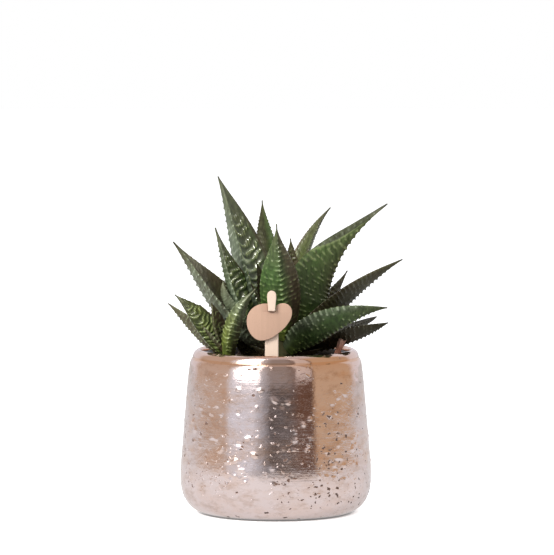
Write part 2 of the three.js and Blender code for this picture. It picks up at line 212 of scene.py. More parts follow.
def finish_piece(piece, name, nodes, material, smooth=True):
    """Names a piece, puts its place into its mesh and hands it to the frame."""
    deselect()
    piece.select_set(True)
    bpy.context.view_layer.objects.active = piece
    bpy.ops.object.transform_apply(location=True, rotation=True, scale=True)
    if smooth:
        bpy.ops.object.shade_smooth()
    piece.name = piece.data.name = name
    piece.data.materials.clear()
    piece.data.materials.append(material)
    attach(piece, "root")
    if nodes:
        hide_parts(*nodes)


def turn(profile, segments):
    """A turned piece: the profile is drawn point by point from the axis, and spun round it."""
    deselect()
    bpy.ops.mesh.primitive_plane_add(size=MM)
    piece = bpy.context.object
    bpy.ops.object.mode_set(mode="EDIT")
    bpy.ops.mesh.select_all(action="DESELECT")
    bpy.ops.object.mode_set(mode="OBJECT")
    for vertex in piece.data.vertices[1:]:
        vertex.select = True
    before = (0.0, profile[0][1])
    piece.data.vertices[0].co = (0, 0, before[1] * MM)
    bpy.ops.object.mode_set(mode="EDIT")
    bpy.ops.mesh.delete(type="VERT")
    bpy.ops.mesh.select_all(action="SELECT")
    for point in list(profile) + [(0.0, profile[-1][1])]:
        step = ((point[0] - before[0]) * MM, 0, (point[1] - before[1]) * MM)
        bpy.ops.mesh.extrude_vertices_move(TRANSFORM_OT_translate={"value": step})
        before = point
    bpy.ops.mesh.select_all(action="SELECT")
    bpy.ops.mesh.spin(steps=segments, angle=math.tau, center=(0, 0, 0), axis=(0, 0, 1))
    close_seams()
    return piece


def wrapped_grid(rows, columns, surface):
    """A grid whose sides meet round a long piece and whose ends are drawn to a point."""
    deselect()
    bpy.ops.mesh.primitive_grid_add(x_subdivisions=columns, y_subdivisions=rows + 2, size=2)
    piece = bpy.context.object
    mesh = piece.data
    flat = places_of(mesh)
    around, step = (flat[:, 0] + 1) / 2, (flat[:, 1] + 1) / 2 * (rows + 2)
    places, *marks = surface(around, np.clip((step - 1) / rows, 0, 1))
    for end in (step < 0.5, step > rows + 1.5):
        places[end] = places[end].mean(axis=0)
    move_to(mesh, places)
    for name, values in zip(("Blade", "Age"), marks):
        layer = mesh.attributes.new(name, "FLOAT_COLOR", "POINT")
        layer.data.foreach_set("color", values.astype(np.float32).ravel())
    close_seams()
    return piece


def unit(vectors):
    return vectors / np.maximum(np.linalg.norm(vectors, axis=-1, keepdims=True), 1e-9)


def ease(x, low, high):
    """Goes softly from 0 at low to 1 at high."""
    t = np.clip((x - low) / (high - low), 0, 1)
    return t * t * (3 - 2 * t)


def bell(x, width, power=2):
    """Is 1 at 0 and falls softly to both sides."""
    return np.exp(-np.abs(x / width) ** power)


# ---- shader helpers


class Value:
    """What a shader node gives, ready for sums with numbers and with other values."""

    def __init__(self, nodes, socket):
        self.nodes, self.socket = nodes, socket

    def __add__(self, other):
        return self.nodes.math("ADD", self, other)

    def __radd__(self, other):
        return self.nodes.math("ADD", other, self)

    def __sub__(self, other):
        return self.nodes.math("SUBTRACT", self, other)

    def __rsub__(self, other):
        return self.nodes.math("SUBTRACT", other, self)

    def __mul__(self, other):
        return self.nodes.math("MULTIPLY", self, other)

    def __truediv__(self, other):
        return self.nodes.math("DIVIDE", self, other)

    def __abs__(self):
        return self.nodes.math("ABSOLUTE", self)


class Nodes:
    """Short hand for building one node tree."""

    def __init__(self, tree):
        self.tree = tree

    def add(self, kind, settings=None, **inputs):
        """Adds a shader node, whose kind is given without ShaderNode."""
        node = self.tree.nodes.new("ShaderNode" + kind)
        for key, value in (settings or {}).items():
            setattr(node, key, value)
        self.set(node, **inputs)
        return node

    def set(self, node, **inputs):
        """Fills inputs, which are named or, as in i0, numbered."""
        for key, value in inputs.items():
            numbered = key[0] == "i" and key[1:].isdigit()
            socket = node.inputs[int(key[1:]) if numbered else key.replace("_", " ")]
            if isinstance(value, Value):
                value = value.socket
            if isinstance(value, bpy.types.NodeSocket):
                self.tree.links.new(value, socket)
            else:
                socket.default_value = (*value, 1) if socket.type == "RGBA" else value

    def value(self, kind, output=0, settings=None, **inputs):
        """Adds a shader node and returns what one of its outputs gives."""
        return Value(self, self.add(kind, settings, **inputs).outputs[output])

    def math(self, operation, a, b=0.0, clamp=False):
        return self.value("Math", 0, {"operation": operation, "use_clamp": clamp}, i0=a, i1=b)

    def vector_math(self, operation, output=0, **inputs):
        return self.value("VectorMath", output, {"operation": operation}, **inputs)

    def mix(self, factor, a, b):
        return self.value("Mix", 2, {"data_type": "RGBA"}, i0=factor, i6=a, i7=b)

    def ramp(self, value, *stops):
        node = self.add("ValToRGB", i0=value)
        elements = node.color_ramp.elements
        while len(elements) < len(stops):
            elements.new(0.5)
        for element, (place, shade) in zip(elements, stops):
            element.position = place
            element.color = (*([shade] * 3 if isinstance(shade, (int, float)) else shade), 1)
        return Value(self, node.outputs[0])

    def noise(self, vector, scale, detail=3.0, roughness=0.55):
        return self.value("TexNoise", Vector=vector, Scale=scale, Detail=detail,
                          Roughness=roughness)

    def mapped(self, vector, scale):
        return self.value("Mapping", i0=vector, i3=scale)

    def axis(self, vector, name):
        return self.value("SeparateXYZ", name, Vector=vector)

    def channels(self, colour):
        node = self.add("SeparateColor", Color=colour)
        return [Value(self, output) for output in node.outputs]

    def bump(self, height):
        """Height is in metres."""
        return self.value("Bump", Strength=1.0, Distance=1.0, Height=height)


def new_material(name):
    """Returns the material, its nodes, its shader and the place on the piece."""
    material = bpy.data.materials.new(name)
    material.use_nodes = True
    n = Nodes(material.node_tree)
    shader = next(node for node in n.tree.nodes if node.type == "BSDF_PRINCIPLED")
    return material, n, shader, n.value("TexCoord", "Object")


def darker(tint, share):
    return [channel * share for channel in tint]


FLECKS = "Flecks"
FLECK_INPUTS = {"Vector": "NodeSocketVector", "Scale": "NodeSocketFloat", "Size": "NodeSocketFloat",
                "Share": "NodeSocketFloat"}


def flecks_group():
    """Scattered round flecks of up to one size, thinned out by Share: for bubbles, pits and grains."""
    if FLECKS in bpy.data.node_groups:
        return bpy.data.node_groups[FLECKS]
    group = bpy.data.node_groups.new(FLECKS, "ShaderNodeTree")
    for label, kind in FLECK_INPUTS.items():
        group.interface.new_socket(label, in_out="INPUT", socket_type=kind)
    for label in ("Mask", "Dome"):
        group.interface.new_socket(label, in_out="OUTPUT", socket_type="NodeSocketFloat")
    n = Nodes(group)
    given = group.nodes.new("NodeGroupInput").outputs
    vector, scale, size, share = (Value(n, given[label]) for label in FLECK_INPUTS)
    cells = n.add("TexVoronoi", Vector=vector, Scale=scale, Randomness=1.0).outputs
    chance, growth, _ = n.channels(cells["Color"])
    depth = Value(n, cells["Distance"]) / (size * (0.45 + growth * 0.75))
    dome = n.math("SUBTRACT", 1.0, depth * depth, clamp=True) * n.math("LESS_THAN", chance, share)
    mask = n.math("MULTIPLY", dome, 4.0, clamp=True)
    n.set(group.nodes.new("NodeGroupOutput"), Mask=mask, Dome=dome)
    return group


def flecks(n, vector, scale, size, share):
    node = n.add("Group", {"node_tree": flecks_group()},
                 Vector=vector, Scale=scale, Size=size, Share=share)
    return Value(n, node.outputs["Mask"]), Value(n, node.outputs["Dome"])


# ---- materials


# in metres, like all places and heights in the materials
GLAZE_TOP, GROOVE = 0.095, 0.0903
PITTED_CORNER = (0.024, -0.049, 0.034)


def glaze_material(pot):
    """Mirror-like lustre with turning lines, small dimples and burst pits."""
    material, n, shader, place = new_material("Lustre glaze")
    height = n.axis(place, "Z")
    tall = height * 10.0  # in tenths of a metre, since a ramp runs from 0 to 1
    low = n.ramp(height / GLAZE_TOP, (0.10, 1.0), (0.50, 0.65), (0.90, 0.30))

    # copper shows through in patches, towards the lip and most of all along the groove
    thin = n.ramp(n.noise(n.mapped(place, (1, 1, 2)), 50.0, 6.0, 0.75), (0.43, 0.0), (0.67, 0.75))
    thin = thin * n.ramp(tall, (0.18, 0.45), (0.36, 1.0))
    thin = n.math("MAXIMUM", thin, n.ramp(tall, (0.60, 0.0), (0.84, 0.2), (0.89, 0.55)))
    seam = n.ramp(abs(height - GROOVE) * 300.0, (0.20, 1.0), (0.42, 0.0))
    tint = n.mix(n.math("MAXIMUM", thin, seam), pot.lustre, pot.copper)
    tarnish = n.ramp(n.noise(n.mapped(place, (1, 1, 2.2)), 90.0, 6.0, 0.75), (0.50, 0.0), (0.72, 0.6))
    tint = n.mix(tarnish, tint, darker(pot.copper, 0.62))

    # dimples, ringed craters and pits, bent out of round; all crowd towards the foot, and the pits
    # round one corner
    swirl = n.value("TexNoise", "Color", Vector=place, Scale=260.0)
    bent = n.vector_math("ADD", i0=place, i1=n.vector_math("SCALE", i0=swirl, i3=0.005))
    squat = n.mapped(bent, (1, 1, 1.5))
    crowd = low * n.ramp(n.noise(place, 34.0, 2.0), (0.38, 0.15), (0.60, 1.0))
    _, dimples = flecks(n, squat, 340.0, 0.36, crowd * 0.60)
    _, craters = flecks(n, squat, 250.0, 0.32, crowd * 0.30)
    rings = craters * (1.0 - craters)
    from_corner = n.vector_math("DISTANCE", "Value", i0=place, i1=PITTED_CORNER)
    corner = n.ramp(from_corner * 20.0, (0.10, 1.0), (0.70, 0.0))
    pit_mask, pits = flecks(n, squat, 400.0, 0.46, crowd * 0.10 + corner * 0.34)

    lines = n.noise(n.mapped(place, (5, 5, 1500)), 1.0, 3.0, 0.75)
    line_zone = n.ramp(n.noise(place, 20.0, 2.0), (0.40, 0.25), (0.60, 1.0))
    relief = (dimples * 0.00016 + rings * 0.00046 - pits * 0.00026 + lines * line_zone * 0.000032
              + n.noise(place, 60.0, 2.0) * 0.00009 + n.noise(squat, 270.0) * 0.00006)
    # pits are bare, and so is a thin ring at the very foot, painted in pit colour as the contact shadow
    pits_and_foot_shadow = n.math("MAXIMUM", pit_mask * 0.9, n.ramp(tall, (0.006, 1.0), (0.014, 0.0)))
    rough = 0.055 + line_zone * 0.03 + pit_mask * 0.4 + (lines - 0.4) * 0.12
    n.set(shader, Base_Color=n.mix(pits_and_foot_shadow, tint, pot.pit), Metallic=1.0 - pits_and_foot_shadow * 0.94,
          Roughness=rough, Normal=n.bump(relief))
    return material


def leaf_material(name, leaf, green):
    """Waxy skin. Blade holds the ridges, the distance along the leaf, how much painted shade darkens
    the hollows, and the side; the other attribute holds how brown and waxy the skin is, how much
    painted shade darkens it and how pale its ridges are."""
    material, n, shader, place = new_material(name)
    blade = n.add("Attribute", {"attribute_name": "Blade"}).outputs
    tone_and_shade = n.add("Attribute", {"attribute_name": "Age"}).outputs
    ridge, along, depth = n.channels(blade["Color"])
    brown, painted_shade, wax = n.channels(tone_and_shade["Color"])
    pale = tone_and_shade["Alpha"]

    cloud = n.noise(place, 60.0, 4.0, 0.6)
    streak = n.noise(n.mapped(place, (1, 1, 0.35)), 480.0, 3.0, 0.6)
    body = n.ramp(brown + (cloud - 0.5) * 1.1, (0.0, green), (0.5, leaf.olive), (1.0, leaf.brown))
    fresh = n.ramp(along, (0.03, 0.9), (0.30, 0.0)) * n.math("SUBTRACT", 1.0, painted_shade, clamp=True)
    body = n.mix(fresh * n.ramp(brown, (0.3, 1.0), (0.8, 0.0)), body, leaf.base)
    body = n.mix(wax * n.ramp(cloud, (0.3, 0.45), (0.6, 1.0)), body, leaf.bloom)
    body = n.mix(n.ramp(along, (0.55, 0.0), (0.97, 0.9)), body, leaf.tip)
    # the colour of the hollows, which is painted shade there; it also colours the random darker streaks
    # below
    deep = n.mix(n.ramp(brown, (0.4, 0.0), (0.9, 1.0)), leaf.deep, darker(leaf.brown, 0.42))
    body = n.mix(n.ramp(streak, (0.36, 0.65), (0.58, 0.0)), body, deep)
    # painted shade in the hollows between the ridges, weaker towards the tip
    hollow = n.ramp(ridge, (0.0, 1.0), (0.30, 0.0)) * depth * n.ramp(along, (0.45, 1.0), (0.80, 0.3))
    body = n.mix(hollow, body, deep)
    worn = ridge + (streak - 0.5) * 0.6
    crest = n.ramp(worn, (0.20, 0.0), (0.75, 1.0)) * pale
    body = n.mix(crest, body, n.mix(wax, leaf.pale, leaf.frost))
    # painted shade: mixes the skin towards near black where the leaf lies in shade
    n.set(shader, Base_Color=n.mix(painted_shade * 0.9, body, (0.004, 0.005, 0.002)),
          Roughness=cloud * 0.20 + n.ramp(ridge, (0.1, 0.34), (0.5, 0.12)),
          Normal=n.bump(streak * 0.00010),
          Coat_Weight=n.ramp(ridge, (0.15, 0.03), (0.60, 1.0)), Coat_Roughness=0.10,
          Specular_IOR_Level=0.32, Specular_Tint=(1.0, 1.0, 0.76))
    return material


def wood_material(name, wood, edge):
    """Bare sanded plywood: long grain, specks and a darker cut edge."""
    material, n, shader, place = new_material(name)
    grain = n.noise(n.mapped(place, (900, 900, 45)), 1.0, 4.0, 0.6)
    speck, _ = flecks(n, place, 1500.0, 0.30, 0.28)
    body = n.mix(n.ramp(grain, (0.35, 0.0), (0.75, 0.22)), wood, darker(wood, 0.72))
    body = n.mix(speck * 0.35, body, darker(wood, 0.6))
    sideways = n.axis(n.value("NewGeometry", "Normal"), "Y")
    rim = n.ramp(abs(sideways), (0.35, 1.0), (0.80, 0.0))
    n.set(shader, Base_Color=n.mix(rim * 0.7, body, edge), Roughness=0.55 + grain * 0.2,
          Normal=n.bump(grain * 0.00008))
    return material


def compost_material():
    """Crumbly dark peat with a few pale grains."""
    material, n, shader, place = new_material("Compost")
    crumb = n.noise(place, 520.0, 6.0, 0.7)
    lump = n.noise(place, 130.0, 3.0, 0.6)
    grains, _ = flecks(n, place, 380.0, 0.32, 0.06)
    body = n.mix(crumb, (0.006, 0.004, 0.003), (0.060, 0.036, 0.022))
    n.set(shader, Base_Color=n.mix(grains * 0.9, body, (0.45, 0.40, 0.33)), Roughness=0.8 + crumb * 0.15,
          Normal=n.bump(crumb * 0.0012 + lump * 0.002))
    return material


def plastic_material():
    """Moulded black plastic, slightly dusty."""
    material, n, shader, place = new_material("Black plastic")
    dust = n.noise(place, 90.0, 5.0, 0.7)
    body = n.mix(n.ramp(dust, (0.45, 0.0), (0.75, 0.6)), (0.020, 0.022, 0.026), (0.12, 0.115, 0.11))
    n.set(shader, Base_Color=body, Roughness=0.28 + dust * 0.3,
          Normal=n.bump(n.noise(place, 1500.0, 2.0) * 0.00004))
    return material


STALK_RIM = 0.094


def dry_material():
    """Papery dried stalk: red-brown with a bleached rim."""
    material, n, shader, place = new_material("Dried stalk")
    fibre = n.noise(n.mapped(place, (900, 900, 120)), 1.0, 4.0, 0.65)
    rim = n.ramp((n.axis(place, "Z") - STALK_RIM) * 100.0, (0.25, 0.0), (0.85, 0.9))
    body = n.mix(fibre, (0.22, 0.055, 0.035), (0.62, 0.30, 0.20))
    n.set(shader, Base_Color=n.mix(rim * fibre, body, (0.75, 0.55, 0.45)), Roughness=0.7 + fibre * 0.2,
          Normal=n.bump(fibre * 0.0004))
    return material


def stem_material():
    """Corky green-brown stem."""
    material, n, shader, place = new_material("Stem")
    cork = n.noise(place, 300.0, 5.0, 0.65)
    n.set(shader, Base_Color=n.mix(cork, (0.035, 0.045, 0.015), (0.12, 0.10, 0.045)),
          Roughness=0.6 + cork * 0.3, Normal=n.bump(cork * 0.0005))
    return material


# ---- pieces


def pot_profile(pot):
    """Outline from the foot over the lip and down the inside, in mm."""
    points = [(pot.foot - 1.5, 0.5), (pot.foot - 0.9, 0.1), (pot.foot, 0.0)]
    steps = 28
    for i in range(1, steps + 1):
        angle = i / steps * math.pi / 2
        out = math.sin(angle) ** 0.8
        up = 1 - math.cos(angle) ** 0.8
        points.append((pot.foot + (pot.belly - pot.foot) * out, pot.belly_height * up))
    # the wall leans in evenly above the belly, then more and more towards the shoulder
    lean = [(pot.belly_height, 0.0), (31, 0.080), (38, 0.086), (74, 0.086), (81, 0.115), (85.5, 0.15)]
    inset, step_up = 0.0, 0.55
    for z in np.arange(pot.belly_height + step_up, 85.6, step_up):
        inset += step_up * np.interp(z, [step[0] for step in lean], [step[1] for step in lean])
        points.append((pot.belly - inset, z))
    shoulder = [(0.18, 86.6), (0.40, 87.6), (0.68, 88.5), (1.05, 89.3), (1.50, 89.9), (1.80, 90.2),
                (1.85, 90.6), (1.95, 91.2), (2.15, 92.0), (2.45, 92.8), (2.90, 93.5), (3.6, 94.2),
                (4.5, 94.75), (5.2, pot.height), (6.0, pot.height)]
    points += [(pot.belly - (inset + more), z) for more, z in shoulder]
    points += [(pot.mouth + 0.4, pot.height - 0.3), (pot.mouth, pot.height - 0.9), (pot.mouth, 92),
               (pot.mouth, 86), (pot.mouth + 2.5, 66), (pot.belly - pot.wall, 30),
               (pot.belly - pot.wall - 3, 16), (44.6, 10), (40, 7)]
    return points


BLISTERS, SUNK_SHARE = 360, 0.3
PLAIN_FOOT, PLAIN_LIP = 3, 89


def blister(piece, pot):
    """Raises the small bubbles and worm marks of the glaze, and dents the wall slightly."""
    rng = np.random.default_rng(11)
    co = places_of(piece.data) / MM
    radius = np.hypot(co[:, 0], co[:, 1])
    wall = (radius > pot.belly - 6.6) & (co[:, 2] > PLAIN_FOOT) & (co[:, 2] < PLAIN_LIP)
    x, y, z = co[wall].T
    turn_at = np.arctan2(y, x)
    lift = np.zeros(len(z))
    # they crowd towards the foot, and some grow bead by bead into worm marks
    for _ in range(BLISTERS):
        angle = rng.random() * math.tau
        height = 8 + 77 * rng.beta(1.05, 2.0)
        heading = rng.random() * math.tau
        sunk = rng.random() < SUNK_SHARE
        for _ in range(rng.choice((1, 1, 1, 2, 2, 3, 5))):
            wide, tall = rng.uniform(0.80, 1.30), rng.uniform(0.65, 0.90)
            rise = rng.uniform(0.07, 0.17) * (-0.8 if sunk else 1)
            around = (turn_at - angle + math.pi) % math.tau - math.pi
            near = (np.abs(around) < 0.08) & (np.abs(z - height) < 3)
            far = (around[near] * pot.belly / wide) ** 2 + ((z[near] - height) / tall) ** 2
            lift[near] += rise * np.exp(-far)
            heading += rng.normal() * 0.8
            angle += 0.9 * math.cos(heading) / pot.belly
            height += 0.6 * math.sin(heading)
    fade = ease(z, PLAIN_FOOT, 8) * ease(PLAIN_LIP - z, 0, 3)
    waves = 0.04 * np.sin(turn_at * 5 + z * 0.06) + 0.008 * np.sin(turn_at * 17 - z * 0.15 + 1)
    stretch = 1 + (np.clip(lift, -0.25, 0.34) + waves) * fade / radius[wall]
    co[wall, 0] *= stretch
    co[wall, 1] *= stretch
    move_to(piece.data, co)


class HAWORTHIA_OT_pot(bpy.types.Operator):
    """Turn the glazed pot"""
    bl_idname = "haworthia.pot"
    bl_label = "Pot"

    def execute(self, context):
        pot = context.scene.haworthia_pot
        piece = turn(pot_profile(pot), segments=560)
        blister(piece, pot)
        finish_piece(piece, "Pot", ["pot"], glaze_material(pot))
        return {"FINISHED"}


class HAWORTHIA_OT_liner(bpy.types.Operator):
    """Turn the grower's plastic pot"""
    bl_idname = "haworthia.liner"
    bl_label = "Grower's pot"

    def execute(self, context):
        foot, lip = LINER_LOW.z / MM, LINER_HIGH.z / MM
        radius = LINER_HIGH.x / MM
        neck = radius - 2.2
        profile = [(31.6, foot), (32, foot + 0.4), (neck + 1, lip - 3.2), (radius - 0.2, lip - 2.5),
                   (radius, lip - 2.2), (radius, lip - 0.4), (radius - 0.4, lip), (neck + 0.3, lip),
                   (neck, lip - 0.3), (neck, lip - 3), (31, foot + 1.2)]
        piece = turn(profile, segments=120)
        finish_piece(piece, "Growers_pot", ["grow_pot"], plastic_material())
        return {"FINISHED"}


def soil_height(x, y):
    """The same broad lumps as the solid's, in mm."""
    broad = np.sin(x * 0.31 + 1.2) * np.cos(y * 0.27)
    return SOIL_TOP + 0.8 * (broad + np.sin(y * 0.5 + x * 0.17) / 2)


CRUMBS = 420
# where each stem stands, and the radius round it that the crumbs keep clear of
CLEARINGS = ((4, 0, 10), (-28, -17.5, 5))


class HAWORTHIA_OT_compost(bpy.types.Operator):
    """Fill the grower's pot with compost and scatter crumbs on it"""
    bl_idname = "haworthia.compost"
    bl_label = "Compost"

    def execute(self, context):
        rim, count = 39.4, 44
        rings = [(rim * (1 - i / count), SOIL_TOP) for i in range(count)]
        piece = turn([(30.2, SOIL_FOOT), (rim - 0.4, SOIL_TOP - 2)] + rings, segments=132)
        co = places_of(piece.data) / MM
        top = co[:, 2] > SOIL_TOP - 1
        x, y = co[top, 0], co[top, 1]
        lumps = (np.sin(x * 1.9 + 0.7 * np.sin(y * 1.1)) * np.sin(y * 1.7 + 0.9 * np.cos(x * 1.3)) * 0.35
                 + np.sin(x * 4.3 + y * 1.4) * np.sin(y * 3.9 - x * 0.8) * 0.15)
        co[top, 2] = soil_height(x, y) + lumps
        move_to(piece.data, co)
        material = compost_material()
        finish_piece(piece, "Compost", ["soil"], material)
        self.crumbs(material)
        return {"FINISHED"}

    def crumbs(self, material):
        """Loose crumbs, each a small squashed ball, in one mesh."""
        rng = np.random.default_rng(7)
        deselect()
        start = Vector((20, 8, soil_height(20, 8))) * MM
        bpy.ops.mesh.primitive_ico_sphere_add(subdivisions=1, radius=MM, location=start)
        first = bpy.context.object
        copies = []
        while len(copies) < CRUMBS:
            r, a = 38.2 * math.sqrt(rng.random()), rng.random() * math.tau
            x, y = r * math.cos(a), r * math.sin(a)
            if any(math.hypot(x - at_x, y - at_y) < clear for at_x, at_y, clear in CLEARINGS):
                continue
            crumb = first.copy()
            crumb.data = first.data.copy()
            bpy.context.collection.objects.link(crumb)
            size = 0.45 + 0.9 * rng.random() ** 2
            crumb.scale = (size, size * (0.6 + 0.5 * rng.random()), size * (0.5 + 0.4 * rng.random()))
            crumb.rotation_euler = (0.6 * rng.random(), 0.6 * rng.random(), rng.random() * math.tau)
            crumb.location = Vector((x, y, soil_height(x, y) + 0.2)) * MM
            copies.append(crumb)
        for crumb in copies:
            crumb.select_set(True)
        bpy.ops.object.join()
        finish_piece(bpy.context.object, "Compost_crumbs", (), material)


def scatter(row, cell, seed):
    """A repeatable number from 0 to 1 for each bead of each row."""
    value = np.sin(row * 127.1 + cell * 311.7 + seed * 74.7) * 43758.5453
    return value - np.floor(value)


def in_rows(distance, pitch):
    """The number of the row that each place lies in, and how far it is from the row's middle."""
    row = distance / pitch
    number = np.floor(row)
    return number, (row - number - 0.5) * pitch


INNER_SHARE = 0.42
ROW_STEP = 0.42


def leaf_surface(name, shape, leaf, seed, foot):
    """Returns the function that lays a grid round one leaf, and the leaf's length; foot is how wide
    its base is as a share of its width."""
    shape = (*shape, *(BROAD, USUAL_KEEL)[len(shape) - 5:])
    base, middle, tip, _, facing = (np.array(part, float) for part in shape[:5])
    width, tip_power, keel_share = shape[3], shape[5], shape[6]
    pull = 2 * middle - (base + tip) / 2
    span = np.linalg.norm(middle - base) + np.linalg.norm(tip - middle)
    small = min(1.0, 0.5 + width / 50)
    skin = {**SKIN, **SKINS.get(name, {})}
    ridge_pitch = leaf.ridge_pitch * (0.36 + 0.64 * width / 30) * skin["welts_apart"]
    bead_pitch = leaf.bead_pitch * (0.32 + 0.68 * width / 30) * skin["rows_apart"]

    def surface(around, along):
        # the outer face takes the larger part of the columns
        inner = around < INNER_SHARE
        turn_in = np.where(inner, around / INNER_SHARE, (around - INNER_SHARE) / (1 - INNER_SHARE))
        side = -0.55 * np.cos(math.pi * turn_in) + 0.45 * (2 * turn_in - 1)
        side = np.where(inner, side, -side)
        face = np.where(inner, 1.0, -1.0)
        edge = np.clip(np.sin(math.pi * turn_in), 0, 1) ** 0.4
        t = along[:, None]
        centre = (1 - t) ** 2 * base + 2 * t * (1 - t) * pull + t * t * tip
        ahead = unit(2 * (1 - t) * (pull - base) + 2 * t * (tip - pull))
        up = unit(facing - (facing * ahead).sum(-1, keepdims=True) * ahead)
        across = np.cross(ahead, up)
        t = along
        neck = foot + (1 - foot) * np.sin(np.minimum(1, t / 0.32) * math.pi / 2)
        taper = np.sin(np.minimum(1, (1 - t) / 0.625) * math.pi / 2) ** tip_power
        blade = np.maximum(width * taper * neck, 0.8)
        keel = width * keel_share * (1 - t ** 1.15) ** 0.85 * (0.5 + 0.5 * np.minimum(1, t / 0.3))
        flat = 1 - side * side
        depth = face * 0.35 * edge - 0.17 * blade * flat
        depth -= np.where(inner, 0, keel * (1 - np.abs(side) ** 1.35))
        place = t * span
        foot_fade = ease(t, 0.02, 0.10)
        middle_first = 0.12 * flat

        # inner face: welts that hang down in the middle
        wavy = (place + skin["sag"] * blade * flat + 0.6 * np.sin(side * 3 + seed)
                + 0.5 * np.sin(place * 0.35 + seed) + 0.45 * np.sin(side * 5.3 + place * 0.9 + seed))
        number, off = in_rows(wavy, ridge_pitch)
        crest = bell(off, 0.24 * ridge_pitch, 2.6)
        lump = side * blade / (0.8 * ridge_pitch) + 3 * scatter(number, 0, seed)
        apart = 0.16 + 0.34 * ease(t, 0.35, 0.65)
        beads = 1 - apart + apart * np.cos(lump * math.tau)
        strength = 0.55 + 0.45 * scatter(number, 1, seed)
        broken = np.clip(1.35 + 0.9 * np.sin(side * 4.2 + number * 2.1 + seed), 0, 1)
        ridge = (crest * broken * beads * strength * foot_fade
                 * ease(skin["welts_end"] + middle_first - t, 0, 0.28)
                 * ease(1 - np.abs(side), 0.06, 0.26) * skin["welts"])

        # outer face: rows of short and long beads, which run into bars along the edges
        wavy = place + 0.04 * blade * flat + 0.4 * np.sin(side * 5 + seed * 2)
        number, off = in_rows(wavy, bead_pitch)
        stretch = blade * np.arcsin(np.clip(side, -1, 1)) / 2
        across_row = stretch / (skin["dash"] * bead_pitch) + 5 * scatter(number, 2, seed)
        cell = np.floor(across_row)
        long = 0.18 + 0.32 * scatter(number, cell, seed)
        strength = scatter(number, cell, seed + 1)
        strength = np.where(strength < skin["gaps"], 0, 0.25 + 0.75 * strength)
        shifted = off + (scatter(number, cell, seed + 2) - 0.5) * 0.34 * bead_pitch
        dots = (bell(shifted, 0.155 * bead_pitch) * bell(across_row - cell - 0.5, long, 4)
                * strength * foot_fade * ease(0.88 + middle_first - t, 0, 0.26))
        line = bell(off, 0.17 * bead_pitch)
        bars = (line * ease(np.abs(side), skin["bars"], skin["bars"] + 0.12) * foot_fade
                * ease(0.97 - t, 0, 0.3))
        dots = np.maximum(dots, (0.5 + 0.4 * scatter(number, 3, seed)) * bars)
        keel_teeth = line * bell(side, 0.11) * foot_fade * ease(1 - t, 0.03, 0.25)
        dots = np.maximum(dots, (0.6 + 0.4 * scatter(number, 4, seed)) * keel_teeth)

        # edges: one tooth for each row of beads, and a low fold across the outer face
        rim = ease(np.abs(side), 0.90, 0.99)
        teeth = line * rim * foot_fade * ease(1 - t, 0.02, 0.2) * skin["teeth"]
        folds = skin["folds"] * line * foot_fade * ease(0.9 - t, 0, 0.3)
        beads_up = np.maximum(np.maximum(dots, folds), 1.7 * keel_teeth)
        raised = np.where(inner, leaf.ridge * ridge, leaf.bead * beads_up) * small
        depth += face * raised * (1 - rim)
        reach = side * blade / 2 + np.sign(side) * leaf.tooth * small * (teeth - 0.5 * rim)
        places = centre + across * reach[:, None] + up * depth[:, None]
        mask = np.maximum(np.where(inner, ridge, dots * 0.9), teeth * 0.8)
        # how strongly painted shade darkens the hollows between the ridges, less on brown leaves
        hollow = np.where(inner, 0.30 + 0.48 * min(1, skin["welts"]), 0.42)
        hollow = hollow * (1 - 0.5 * skin["brown"] ** 2)
        marks = np.stack([mask, t, hollow, side * 0.5 + 0.5], -1)

        # tone of the skin and painted shade: brown, painted shade darkening it, waxy, and how pale its
        # ridges are
        # one side of the leaf turns brown and, as painted shade, darker, most towards the foot
        turned = ease(-side, skin["turned_at"] - 0.4, skin["turned_at"] + 0.4) * skin["turned"]
        rim_brown = ease(np.abs(side), 0.80, 0.92) * 0.5
        brown = np.clip(skin["brown"] + turned + rim_brown * inner, 0, 1)
        # painted shade: the leaf is darkened from its foot up to the set share of its length
        painted_shade = skin["painted_shade"] * ease(skin["painted_shade_end"] - t, 0, 0.4)
        painted_shade = np.clip(painted_shade + 0.5 * turned * (1 - t), 0, 1)
        wax = np.where(inner, 0.15, 1.0) * skin["wax"] * ease(t, 0.02, skin["wax_from"])
        # along the near edge of the outer face the wax bloom is partly a painted sheen
        wax = np.maximum(wax, np.where(inner, 0, skin["edge_wax_and_sheen"]) * ease(side, 0.45, 0.9))
        pale = np.clip(skin["pale"] * (1.25 - 0.5 * t), 0, 1)
        tones_and_shade = np.stack([brown, painted_shade, wax, pale], -1)
        if name == "leaf_big_right":
            turn_edge(side, t, np.where(inner, 0, 1), line, marks, tones_and_shade)
        return places, marks, tones_and_shade

    return surface, span


def turn_edge(side, t, outer, line, marks, tones_and_shade):
    """Marks the edge of the big leaf that is seen from above: grey, darkened with painted shade, with a
    pale line under it and a row of painted glints below.
    """
    fold = np.interp(t, (0.50, 0.58, 0.70, 0.85, 0.95), (1.2, 1.02, 0.77, 0.50, 0.10))
    strip = ease(side, fold, fold + 0.06) * outer
    blobs = bell(side - (1 + fold) / 2, 0.10) * line * strip
    pale_line = bell(side - fold, 0.05) * outer * ease(0.95 - t, 0, 0.1)
    # painted glints: a row of paler crests, with more coat, below the pale line
    glints = line * bell(side - fold + 0.22, 0.10) * ease(t, 0.45, 0.6)
    glints = outer * (glints * ease(0.9 - t, 0, 0.1))
    ridges = np.where(strip > 0.5, blobs, marks[:, 0])
    marks[:, 0] = np.maximum(np.maximum(ridges, 0.75 * pale_line), glints)
    # the grey strip: browned, waxy and darkened with painted shade
    for channel, share in enumerate((0.6, 0.45, 0.9)):
        tones_and_shade[:, channel] = np.maximum(tones_and_shade[:, channel], share * strip)


